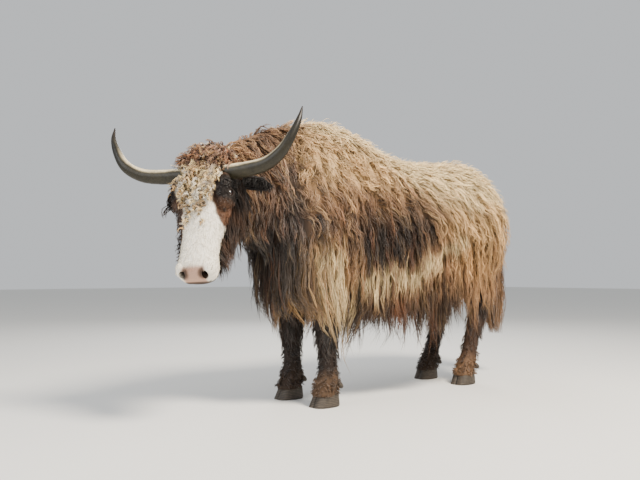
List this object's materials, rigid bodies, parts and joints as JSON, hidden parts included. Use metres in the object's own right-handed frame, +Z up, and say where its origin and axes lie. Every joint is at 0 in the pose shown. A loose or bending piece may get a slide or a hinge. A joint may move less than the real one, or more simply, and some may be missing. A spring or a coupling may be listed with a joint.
{
  "type": "standing yak model",
  "caption": "Life-size still model of a standing long-haired domestic yak, head turned to its left, with upswept horns.",
  "frame": {"origin": "centre of the bounding box's bottom face, on the floor", "axes": "+Z up, the yak faces -Y and its left side is +X"},
  "size_m": [0.8055, 2.4922, 1.4],
  "materials": {
    "pale_coat": "long hair, cream to tan",
    "brown_coat": "long hair, brown",
    "dark_hair": "short dark brown hair",
    "face_hair": "short cream and brown hair",
    "horn": "horn, satin",
    "hoof": "horn of the hoof, dull",
    "eye": "wet dark eye"
  },
  "bodies": {
    "root": {"head": "face_hair", "ear_left": "dark_hair", "ear_right": "dark_hair", "eye_left": "eye", "eye_right": "eye", "horn_left": "horn", "horn_right": "horn", "neck": "brown_coat", "torso": "pale_coat", "tail": "brown_coat", "leg_fore_left": "dark_hair", "leg_fore_right": "dark_hair", "leg_hind_left": "dark_hair", "leg_hind_right": "dark_hair", "claw_fore_left_outer": "hoof", "claw_fore_left_inner": "hoof", "claw_fore_right_outer": "hoof", "claw_fore_right_inner": "hoof", "claw_hind_left_outer": "hoof", "claw_hind_left_inner": "hoof", "claw_hind_right_outer": "hoof", "claw_hind_right_inner": "hoof", "dewclaw_fore_left_outer": "hoof", "dewclaw_fore_left_inner": "hoof", "dewclaw_fore_right_outer": "hoof", "dewclaw_fore_right_inner": "hoof", "dewclaw_hind_left_outer": "hoof", "dewclaw_hind_left_inner": "hoof", "dewclaw_hind_right_outer": "hoof", "dewclaw_hind_right_inner": "hoof"}
  },
  "joints": []
}
